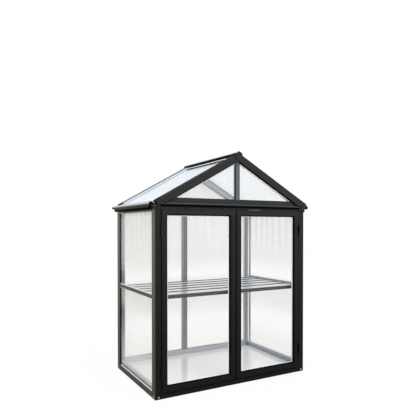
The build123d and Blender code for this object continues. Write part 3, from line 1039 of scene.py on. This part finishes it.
# Painted shadow of the eave over the head of the side walls.
HEAD_COAT = PowderCoat("head_coat", shadow_low=0.999, shadow_high=1.04)
# Painted shadow under the lip of the front tie beam.
TIE_COAT = PowderCoat("tie_coat", shadow_low=1.014, shadow_high=1.0276)
# No painted warm light on the sides; the head painted lighter, and faint painted light from the sheets
# inside.
DARK_COAT = PowderCoat("dark_coat", side_low=DARK, side_high=(0.005, 0.005, 0.005), flank_highlight=0.0,
                       crown=(0.0125, 0.0127, 0.0127), crown_height=0.972, top=(0.012, 0.013, 0.015),
                       sheen_side=0.2, sheen_top=0.02, inner=(0.05, 0.055, 0.06),
                       inner_pale=(0.07, 0.075, 0.08))
# Painted sky reflection on the top of the eave's nose, painted warm light on its side and painted shade
# beneath.
EAVE_COAT = PowderCoat("eave_coat", side_high=(0.110, 0.095, 0.075), top=(0.36, 0.41, 0.48), gloss=1.8,
                       sheen_high=0.2, sheen_side=0.3, sheen_under=0.02, above_from=-0.2,
                       above_full=0.35, under_from=0.45, under_full=0.98)
# Painted warm light on the skirt's side, and a painted shadow of the nose over its lower part.
SKIRT_COAT = PowderCoat("skirt_coat", side_high=(0.032, 0.028, 0.021), sheen_side=0.2, sheen_under=0.02,
                        shadow_low=0.98, shadow_high=1.0125)
# Painted sky reflection on the ridge cap's slopes.
RIDGE_COAT = PowderCoat("ridge_coat", side_low=DARK, side_high=DARK, top=(0.45, 0.55, 0.66), gloss=1.8,
                        sheen_high=0.3, sheen_side=0.1)
# Rafters: the head painted lighter, a weaker painted reflection on the tops, and painted pale light from the
# sheets on the inner faces.
FRONT_RAFTER_COAT = PowderCoat("front_rafter_coat", crown=(0.0145, 0.0147, 0.0147),
                               top=(0.020, 0.022, 0.026), sheen_top=0.15, inner_y=-0.3105,
                               inner_top=1.4, inner_from=0.05, inner_above=0.0, forward_share=0.9,
                               inner=(0.80, 0.82, 0.85), inner_pale=(0.88, 0.90, 0.93))
# The back rafters take less painted light from the sheets.
BACK_RAFTER_COAT = replace(FRONT_RAFTER_COAT, name="back_rafter_coat", inner=(0.38, 0.42, 0.48),
                           inner_pale=(0.54, 0.58, 0.64))
# Painted pale light from the sheets on the back mullion, lighter at the foot and on its left face.
INNER = InnerCoat("inner_coat", edge_x=-0.0395, foot_lift=0.38)
# Painted pale light from the sheets on the lips along the side base rails.
LIP_COAT = InnerCoat("lip_coat", body=(0.36, 0.41, 0.47), pale=(0.50, 0.56, 0.64))
KING_COAT = InnerCoat("king_coat", body=(0.074, 0.083, 0.097), pale=(0.115, 0.128, 0.147))
SHELF = ShelfCoat("shelf_coat")
SEAL = Seal("pale_seal")
# Painted shade: the seal under the eave is painted grey.
EAVE_SHADE_SEAL = Seal("eave_shade_seal", body=(0.50, 0.50, 0.49), shade=(0.40, 0.40, 0.39))
JAMB_SEAL = Seal("jamb_seal", body=(0.96, 0.97, 0.98), shade=(0.88, 0.89, 0.91))
BLACK = Seal("black_rubber", body=(0.0035, 0.0035, 0.0035), shade=(0.006, 0.006, 0.006), specular=0.05)
ZINC = Zinc("zinc")
ACROSS = Vector((1, 0, 0))
BACKWARDS = Vector((0, 1, 0))
UP = Vector((0, 0, 1))


@dataclass
class Frame:
    """Posts, rails, rafters and beams, with what is fixed to them."""

    bolt_height: float = 0.012
    bolt_from_edge: float = 0.019
    lip_overlap: float = 0.0005
    nose_rise: float = 0.003
    nose_radius: float = 0.011
    skirt_inset: float = 0.0015
    skirt_setback: float = 0.026
    skirt_drop: float = 0.017
    joint_top: tuple[float, float] = (-0.0365, 1.327)
    joint_foot: tuple[float, float] = (-0.0130, 1.2893)
    foot_joint: tuple[tuple[float, float], ...] = ((0.4699, 1.0464), (0.4531, 1.0333), (0.4088, 1.0544))
    bolt: Bolt = field(default_factory=Bolt)
    plug: Plug = field(default_factory=Plug)
    lip: Strip = field(default_factory=lambda: Strip(width=0.016, thickness=0.0075, rounding=0.002))
    skirt: Strip = field(default_factory=lambda: Strip(width=0.026, thickness=0.010, rounding=0.003))
    line: Strip = field(default_factory=lambda: Strip(width=0.0045, thickness=0.0004, rounding=0.0001))

    def build(self) -> None:
        """Dresses the bars and adds bolts, plugs, lips, skirts and the lines at the joints."""
        finishes = {"corner_post": COAT, "base_rail_left": COAT, "base_rail_right": COAT,
                    "base_rail_front": SILL_COAT, "base_rail_back": BASE_COAT, "side_top": HEAD_COAT,
                    "side_transom": COAT, "tie_beam_back": COAT, "tie_beam_front": TIE_COAT,
                    "eave_corners": DARK_COAT, "eave_rail": EAVE_COAT, "ridge_beam": COAT,
                    "ridge_cap": RIDGE_COAT, "rafter_front": FRONT_RAFTER_COAT,
                    "rafter_back": BACK_RAFTER_COAT, "back_mullion": INNER, "king_post_front": KING_COAT}
        for start, finish in finishes.items():
            dress([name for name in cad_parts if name.startswith(start)], finish)
        add_piece(self._bolts(), ZINC, "frame")
        for side, s in SIDES.items():
            add_piece(self._plugs(side, s), BLACK, "frame")
            add_piece(self._lip(side, s), LIP_COAT, "frame")
            add_piece(self._skirt(side, s), SKIRT_COAT, "frame")
        add_piece(self._joint_lines(), BLACK, "frame")

    def _lip(self, side: str, s: int) -> bpy.types.Object:
        """The inner lip that stands on one side's base rail and holds the sheet.

        Args:
            side: The side's name.
            s: Its sign, -1 for left and 1 for right.

        Returns:
            The lip.
        """
        rail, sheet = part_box(f"base_rail_{side}"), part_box(f"side_panels_{side}")
        x = face_x(sheet, -s) - s * self.lip_overlap
        spot = Vector((x, (rail[0].y + rail[1].y) / 2, rail[1].z))
        placement = on_wall(spot, BACKWARDS * -s, UP)
        return self.lip.make(f"side_base_lip_{side}", rail[1].y - rail[0].y, placement)

    def _skirt(self, side: str, s: int) -> bpy.types.Object:
        """The skirt that hangs from the nose of one eave rail.

        Args:
            side: The side's name.
            s: Its sign, -1 for left and 1 for right.

        Returns:
            The skirt.
        """
        low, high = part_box(f"eave_rail_{side}")
        x = face_x((low, high), s) - s * (self.skirt.thickness + self.skirt_inset)
        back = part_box(f"corner_post_back_{side}")[0].y
        front = low.y + self.skirt_setback
        spot = Vector((x, (front + back) / 2, low.z - self.skirt_drop))
        return self.skirt.make(f"eave_skirt_{side}", back - front, on_wall(spot, BACKWARDS * s, UP))

    def _joint_lines(self) -> bpy.types.Object:
        """The lines where the front rafters meet each other at the ridge, and the tie at their feet.

        Returns:
            The lines, as one piece.
        """
        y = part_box("rafter_front_left")[0].y
        lines = [(self.joint_top, self.joint_foot)]
        for s in SIDES.values():
            corners = [(s * x, z) for x, z in self.foot_joint]
            lines += list(zip(corners, corners[1:]))
        strips = []
        for start, end in lines:
            first, last = (Vector((x, y, z)) for x, z in (start, end))
            along = (last - first).normalized()
            across = Vector((-along.z, 0, along.x))
            placement = on_wall((first + last) / 2, along, across)
            strips.append(self.line.make("line", (last - first).length, placement))
        return Shaper.join("joint_lines", strips)

    def _bolts(self) -> bpy.types.Object:
        """One bolt on each outer face of each corner post's foot.

        Returns:
            The bolts, as one piece.
        """
        bolts = []
        for side, s in SIDES.items():
            for end, e in (("front", -1), ("back", 1)):
                low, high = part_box(f"corner_post_{end}_{side}")
                x, y = face_x((low, high), s), (high.y if e > 0 else low.y)
                spot = Vector((x - s * self.bolt_from_edge, y, self.bolt_height))
                bolts.append(self.bolt.make("bolt", on_wall(spot, ACROSS * -e, UP)))
                spot = Vector((x, (low.y + high.y) / 2, self.bolt_height))
                bolts.append(self.bolt.make("bolt", on_wall(spot, BACKWARDS * s, UP)))
        return Shaper.join("base_bolts", bolts)

    def _plugs(self, side: str, s: int) -> bpy.types.Object:
        """The plugs in both ends of one eave rail.

        Args:
            side: The side's name.
            s: Its sign, -1 for left and 1 for right.

        Returns:
            Both plugs, as one piece.
        """
        low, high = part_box(f"eave_rail_{side}")
        x = face_x((low, high), s) - s * self.nose_radius
        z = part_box(f"corner_post_front_{side}")[1].z + self.nose_rise
        plugs = [self.plug.make("plug", on_wall(Vector((x, y, z)), ACROSS * -e, UP))
                 for y, e in ((low.y, -1), (high.y, 1))]
        return Shaper.join(f"eave_plugs_{side}", plugs)


@dataclass
class Sheets:
    """The twin-wall sheets of the walls, the gables and the roof, and the seals round them."""

    bead: Bead = field(default_factory=lambda: Bead(width=0.0030, thickness=0.0020))
    rim: Bead = field(default_factory=lambda: Bead(width=0.0040, thickness=0.0022))
    flat_bead: Bead = field(default_factory=lambda: Bead(width=0.006, thickness=0.0015, rounding=0.0004))
    strip: Strip = field(default_factory=Strip)
    jamb: Strip = field(default_factory=lambda: Strip(width=0.013, thickness=0.003))
    roof_slope: float = 0.56
    roof_setback: float = 0.008
    rafter_face: float = 0.041
    cap_reach: float = 0.022
    lip_reach: float = 0.014

    def build(self) -> None:
        """Dresses the sheets and adds their seals."""
        # Bands of painted glow, where the light from beyond shows through the sheets.
        high_glow = Glow(0.50, 0.585, 0.72)
        low_glows = {"back": Glow(-0.25, 0.25, 0.42), "left": Glow(0.10, 0.38, 0.47),
                     "right": Glow(0.02, 0.28, 0.43)}
        dress(["back_panels"], TwinWall("back_sheet", veil=0.44, glow_veil=0.12,
                                        glows=(low_glows["back"], high_glow)))
        # The side walls are copies of one sheet with painted light: the right one has a lighter veil and
        # other bands of painted glow, and both carry painted shade under the head rail.
        for side, veil in (("left", 0.48), ("right", 0.43)):
            dress([f"side_panels_{side}"], TwinWall(
                f"{side}_side_sheet", across=Axis.Y, veil=veil, streak_shade=0.42, head_shade=2.5,
                glows=(low_glows[side], high_glow)))
        above_all = 2.0
        dress(["gable_panel_front"], TwinWall("front_gable_sheet", veil=0.10, head_from=above_all))
        dress(["gable_panel_back"], TwinWall("back_gable_sheet", veil=0.5, milk=(0.93, 0.90, 0.85),
                                             head_from=above_all))
        dress(["roof_panel_left", "roof_panel_right"], RoofSheet("streaked_twin_wall"))
        for side, s in SIDES.items():
            add_piece(self._side_strips(side, s), SEAL, "frame")
            add_piece(self._head_strip(side, s), EAVE_SHADE_SEAL, "frame")
            add_piece(self._roof_bead(side, s), SEAL, "frame")
        add_piece(self._back_strips(), SEAL, "frame")
        add_piece(self._back_jambs(), JAMB_SEAL, "frame")
        add_piece(self._side_jamb(), SEAL, "frame")
        rims = self._front_gable_beads("front_gable_rims", self.rim, 0.0)
        add_piece(rims, BLACK, "frame")
        seals = self._front_gable_beads("front_gable_seals", self.bead, self.rim.width)
        add_piece(seals, SEAL, "frame")
        add_piece(self._back_gable_bead(), SEAL, "frame")

    def _side_strips(self, side: str, s: int) -> bpy.types.Object:
        """Strips along the foot of each sheet of one side wall and under the transom.

        Args:
            side: The side's name.
            s: Its sign, -1 for left and 1 for right.

        Returns:
            The strips, as one piece.
        """
        x = face_x(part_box(f"side_panels_{side}"), s)
        y0, y1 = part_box(f"corner_post_front_{side}")[1].y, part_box(f"corner_post_back_{side}")[0].y
        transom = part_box(f"side_transom_{side}")
        levels = ((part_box("floor_panel")[1].z, 1), (transom[0].z, -1), (transom[1].z, 1))
        strips = []
        for z, e in levels:
            spot = Vector((x, (y0 + y1) / 2, z))
            strips.append(self.strip.make("strip", y1 - y0, on_wall(spot, BACKWARDS * (s * e), UP * e)))
        return Shaper.join(f"side_strips_{side}", strips)

    def _head_strip(self, side: str, s: int) -> bpy.types.Object:
        """The strip along the head of one side wall, painted grey as the eave's shade.

        Args:
            side: The side's name.
            s: Its sign, -1 for left and 1 for right.

        Returns:
            The strip.
        """
        x = face_x(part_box(f"side_panels_{side}"), s)
        front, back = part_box(f"corner_post_front_{side}")[1].y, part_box(f"corner_post_back_{side}")[0].y
        spot = Vector((x, (front + back) / 2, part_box(f"side_top_rail_{side}")[0].z))
        placement = on_wall(spot, BACKWARDS * -s, -UP)
        return self.strip.make(f"side_head_strip_{side}", back - front, placement)

    def _jambs(self, name: str, places: dict[int, tuple[float, float]]) -> bpy.types.Object:
        """Upright strips in the back corners.

        Args:
            name: The piece's name.
            places: Each strip's outer edge and its back, by the sign of its side.

        Returns:
            Both strips, as one piece.
        """
        foot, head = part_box("base_rail_back")[1].z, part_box("side_top_rail_left")[0].z
        strips = []
        for s, (x, y) in places.items():
            spot = Vector((x, y, (foot + head) / 2))
            strips.append(self.jamb.make("strip", head - foot, on_wall(spot, UP * s, ACROSS * -s)))
        return Shaper.join(name, strips)

    def _back_jambs(self) -> bpy.types.Object:
        """Pale strips on the inside of the back sheet, along both back posts.

        Returns:
            The strips, as one piece.
        """
        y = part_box("back_panels")[0].y
        right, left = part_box("corner_post_back_right")[0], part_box("corner_post_back_left")[1]
        return self._jambs("back_jambs", {-1: (left.x, y), 1: (right.x, y)})

    def _side_jamb(self) -> bpy.types.Object:
        """The seal on the right back post, along the inside of the side wall's sheet."""
        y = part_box("corner_post_back_right")[0].y
        return self._jambs("side_jamb_right", {1: (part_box("side_panels_right")[0].x, y)})

    def _back_strips(self) -> bpy.types.Object:
        """Strips along the foot and the head of the back wall's sheets.

        Returns:
            The strips, as one piece.
        """
        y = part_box("back_panels")[1].y
        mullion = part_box("back_mullion")
        foot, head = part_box("base_rail_back")[1].z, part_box("tie_beam_back")[0].z
        strips = []
        for side, s in SIDES.items():
            inner, outer = face_x(mullion, s), face_x(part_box(f"corner_post_back_{side}"), -s)
            for z, e in ((foot, 1), (head, -1)):
                spot = Vector(((inner + outer) / 2, y, z))
                placement = on_wall(spot, ACROSS * -e, UP * e)
                strips.append(self.strip.make("strip", abs(outer - inner), placement))
        return Shaper.join("back_strips", strips)

    def _gable_size(self, apart: float) -> tuple[float, float, float]:
        """Size of one half of the gable's opening.

        Args:
            apart: How far the half stands from the middle, such as half of a bar there.

        Returns:
            The height of its foot above the ground, its width and its own height.
        """
        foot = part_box("tie_beam_front")[1].z
        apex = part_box("rafter_front_right")[1].z
        top = apex - self.rafter_face * sqrt(1 + self.roof_slope ** 2)
        reach = (top - foot) / self.roof_slope
        return foot, reach - apart, (reach - apart) * self.roof_slope

    def _front_gable_beads(self, name: str, bead: Bead, inset: float) -> bpy.types.Object:
        """Beads round the halves of the front gable's sheet.

        Args:
            name: The piece's name.
            bead: What runs round each half.
            inset: How far it is drawn in from the rafters alone.

        Returns:
            Both beads, as one piece.
        """
        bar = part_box("king_post_front")[1].x
        foot, reach, height = self._gable_size(bar + inset * sqrt(1 + self.roof_slope ** 2) / self.roof_slope)
        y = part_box("gable_panel_front")[0].y
        beads = []
        for s in SIDES.values():
            spot = Vector((s * (bar + reach / 2), y, foot + height / 2))
            beads.append(bead.make("bead", (reach, height), on_wall(spot, ACROSS, UP), -0.5 * s))
        return Shaper.join(name, beads)

    def _back_gable_bead(self) -> bpy.types.Object:
        """Seal round the back gable's sheet.

        Returns:
            The seal.
        """
        foot, reach, height = self._gable_size(0.0)
        spot = Vector((0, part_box("gable_panel_back")[1].y, foot + height / 2))
        return self.bead.make("back_gable_seal", (2 * reach, height), on_wall(spot, -ACROSS, UP), 0.0)

    def _roof_bead(self, side: str, s: int) -> bpy.types.Object:
        """Seal round the top of one roof sheet.

        Args:
            side: The side's name.
            s: Its sign, -1 for left and 1 for right.

        Returns:
            The seal.
        """
        pitch = atan(self.roof_slope)
        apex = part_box("rafter_front_right")[1].z - self.roof_setback / cos(pitch)
        outer = abs(face_x(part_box(f"corner_post_front_{side}"), s))
        near, far = self.cap_reach, outer - self.lip_reach
        middle = (near + far) / 2
        y0, y1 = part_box("ridge_beam")[0].y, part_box("ridge_beam")[1].y
        spot = Vector((s * middle, (y0 + y1) / 2, apex - self.roof_slope * middle))
        up = Vector((-s * cos(pitch), 0, sin(pitch)))
        size = (y1 - y0, (far - near) / cos(pitch))
        return self.flat_bead.make(f"roof_seal_{side}", size, on_wall(spot, BACKWARDS * s, up))


@dataclass
class Inside:
    """The floor panel and the shelf."""

    def build(self) -> None:
        """Dresses the floor and the shelf."""
        dress(["floor_panel"], FloorBoard("floor_board"))
        dress(["shelf_rails", "shelf_slats"], SHELF)


@dataclass
class Door:
    """One door: stiles, rails, a pane with its seals, and its hinges."""

    side: str
    rail_height: float = 0.030
    leaf_thick: float = 0.002
    bead: Bead = field(default_factory=lambda: Bead(width=0.0030, thickness=0.0030))
    rim: Bead = field(default_factory=lambda: Bead(width=0.0055, thickness=0.0040, rounding=0.001))
    back_rim: Bead = field(default_factory=lambda: Bead(width=0.0016, thickness=0.0040, rounding=0.0005))
    screw: Bolt = field(default_factory=lambda: Bolt(
        head_radius=0.0022, head_height=0.0002, washer_radius=0.0025, washer_height=0.00008,
        socket_radius=0.0009, socket_depth=0.00015, sides=16))
    screws_per_leaf: int = 3
    hinge_length: float = 0.060
    leaf_gap: float = 0.0005

    def build(self) -> None:
        """Dresses the door and adds its seals and screws."""
        body = f"{self.side}_door"
        dress([f"{body}_stiles", f"{body}_rails", f"{body}_hinges", f"{self.side}_post_hinges"], DARK_COAT)
        dress([f"{body}_pane"], TwinWall("clear_twin_wall", veil=0.05))
        for face in ("front", "back"):
            add_piece(self._rim(face), BLACK, body)
        add_piece(self._seal(), SEAL, body)
        add_piece(self._screws(f"{body}_hinges", 1), ZINC, body)
        add_piece(self._screws(f"{self.side}_post_hinges", -1), ZINC, "frame")

    def _pane(self, face: str, inset: float = 0.0) -> tuple[tuple[float, float], Matrix]:
        """Where a bead goes round the pane.

        Args:
            face: The door's face, front or back.
            inset: How far the bead is drawn in from the frame.

        Returns:
            The bead's size and its placement.
        """
        body = f"{self.side}_door"
        rails_low, rails_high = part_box(f"{body}_rails")
        pane_low, pane_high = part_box(f"{body}_pane")
        low, high = rails_low.z + self.rail_height, rails_high.z - self.rail_height
        middle = Vector(((rails_low.x + rails_high.x) / 2, 0, (low + high) / 2))
        middle.y = pane_low.y if face == "front" else pane_high.y
        right = ACROSS if face == "front" else -ACROSS
        size = (rails_high.x - rails_low.x - 2 * inset, high - low - 2 * inset)
        return size, on_wall(middle, right, UP)

    def _rim(self, face: str) -> bpy.types.Object:
        """The black rubber between the frame and the pane.

        Args:
            face: The door's face, front or back.

        Returns:
            The rubber.
        """
        size, placement = self._pane(face)
        bead = self.rim if face == "front" else self.back_rim
        return bead.make(f"{self.side}_door_rim_{face}", size, placement)

    def _seal(self) -> bpy.types.Object:
        """The pale seal inside the rubber, on the front."""
        size, placement = self._pane("front", self.rim.width)
        return self.bead.make(f"{self.side}_door_seal", size, placement)

    def _screws(self, node: str, faces_post: int) -> bpy.types.Object:
        """The screws of both hinges, on the leaves of one node.

        Args:
            node: The CAD node with the leaves.
            faces_post: 1 for the door's leaves, which face the post, and -1 for the post's.

        Returns:
            The screws, as one piece.
        """
        s = SIDES[self.side]
        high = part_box(node)[1]
        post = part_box(f"corner_post_front_{self.side}")
        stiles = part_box(f"{self.side}_door_stiles")
        if faces_post > 0:
            x = face_x(stiles, s) + s * self.leaf_thick
        else:
            x = face_x(post, -s) - s * self.leaf_thick
        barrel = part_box(f"{self.side}_door_hinges")
        y = (post[0].y + self.leaf_gap + high.y) / 2
        right = BACKWARDS * (s * faces_post)
        screws = []
        for foot in (barrel[0].z, barrel[1].z - self.hinge_length):
            for i in range(self.screws_per_leaf):
                z = foot + self.hinge_length * (i + 0.5) / self.screws_per_leaf
                screws.append(self.screw.make("screw", on_wall(Vector((x, y, z)), right, UP)))
        return Shaper.join(f"{node}_screws", screws)


@dataclass
class Studio:
    """The camera, the lamps, the world and the floor."""

    camera_place: Vector = field(default_factory=lambda: Vector((-1.3919, -2.5124, 0.9095)))
    yaw: float = 29.885
    pitch: float = 0.839
    focal_pixels: float = 452.73
    picture: float = 416.0
    principal: tuple[float, float] = (217.61, 233.54)
    sensor: float = 36.0
    floor_size: float = 60.0
    floor_drop: float = 0.0005
    floor_light: float = 0.92
    aim: Vector = field(default_factory=lambda: Vector((0, 0, 0.65)))

    def build(self) -> None:
        """Makes everything that isn't the object."""
        self._camera()
        self._world()
        self._floor()
        self._lamps()
        bpy.context.scene.view_settings.view_transform = "Standard"

    def _camera(self) -> None:
        """The photograph's point of view."""
        data = bpy.data.cameras.new("camera")
        data.sensor_width = self.sensor
        data.lens = self.focal_pixels * self.sensor / self.picture
        data.shift_x = (self.picture / 2 - self.principal[0]) / self.picture
        data.shift_y = (self.principal[1] - self.picture / 2) / self.picture
        camera = bpy.data.objects.new("camera", data)
        camera.location = self.camera_place
        camera.rotation_euler = (radians(90 - self.pitch), 0, radians(-self.yaw))
        bpy.context.scene.collection.objects.link(camera)
        bpy.context.scene.camera = camera

    @staticmethod
    def _seen(graph: Graph) -> Signal:
        """One for rays from the camera, off a gloss or through a sheet.

        Args:
            graph: The tree that asks.

        Returns:
            The share of the ray, 0 or 1.
        """
        rays = graph.node("ShaderNodeLightPath")
        seen = rays.out("Is Camera Ray") + rays.out("Is Glossy Ray") + rays.out("Is Transmission Ray")
        return seen.least(1.0)

    def _world(self) -> None:
        """A white room, with a softer light on the object itself."""
        world = bpy.data.worlds.new("studio")
        bpy.context.scene.world = world
        graph = Graph(world)
        colour = graph.blend((0.97, 0.985, 1.0), (1.0, 1.0, 1.0), self._seen(graph))
        strength = 1.05 - self._seen(graph) * 0.05
        sky = graph.node("ShaderNodeBackground", None, {"Color": colour, "Strength": strength})
        graph.node("ShaderNodeOutputWorld", None, {"Surface": sky})

    def _floor(self) -> None:
        """A pale floor that is almost white to the camera and keeps the object's shadow."""
        bpy.ops.object.select_all(action="DESELECT")
        bpy.ops.mesh.primitive_plane_add(size=self.floor_size, location=(0, 0, -self.floor_drop))
        floor = bpy.context.object
        floor.name = "studio_floor"
        made = bpy.data.materials.new("studio_floor")
        graph = Graph(made)
        paint = graph.node("ShaderNodeBsdfDiffuse", None, {"Color": rgba(grey(0.92))})
        light = graph.node("ShaderNodeEmission", None, {"Color": rgba(grey(1.0)), "Strength": 1.0})
        graph.show(graph.mix(self._seen(graph) * self.floor_light, paint, light))
        floor.data.materials.append(made)

    def _lamps(self) -> None:
        """A large soft lamp over the front, and a warm one to the left."""
        self._lamp("key", (0.6, -2.6, 3.4), 2.4, 52.0, (1.0, 0.98, 0.95))
        self._lamp("warm", (-3.2, -0.6, 1.5), 2.0, 12.0, (1.0, 0.86, 0.70))

    def _lamp(self, name: str, place: tuple, size: float, power: float, colour: Colour) -> None:
        """One square lamp that looks at the object's middle.

        Args:
            name: The lamp's name.
            place: Where it hangs.
            size: The length of its side.
            power: Its power in watts.
            colour: The colour of its light.
        """
        data = bpy.data.lights.new(name, "AREA")
        data.size, data.energy, data.color = size, power, colour
        lamp = bpy.data.objects.new(name, data)
        lamp.location = place
        lamp.rotation_euler = (self.aim - Vector(place)).to_track_quat("-Z", "Y").to_euler()
        bpy.context.scene.collection.objects.link(lamp)


def main() -> None:
    """Builds every sub-assembly in order."""
    logging.basicConfig(level=logging.INFO, format="%(message)s")
    for assembly in (Studio(), Frame(), Sheets(), Inside(), Door("left"), Door("right")):
        assembly.build()
        log.info("built %s", type(assembly).__name__)


if __name__ == "__main__":
    main()
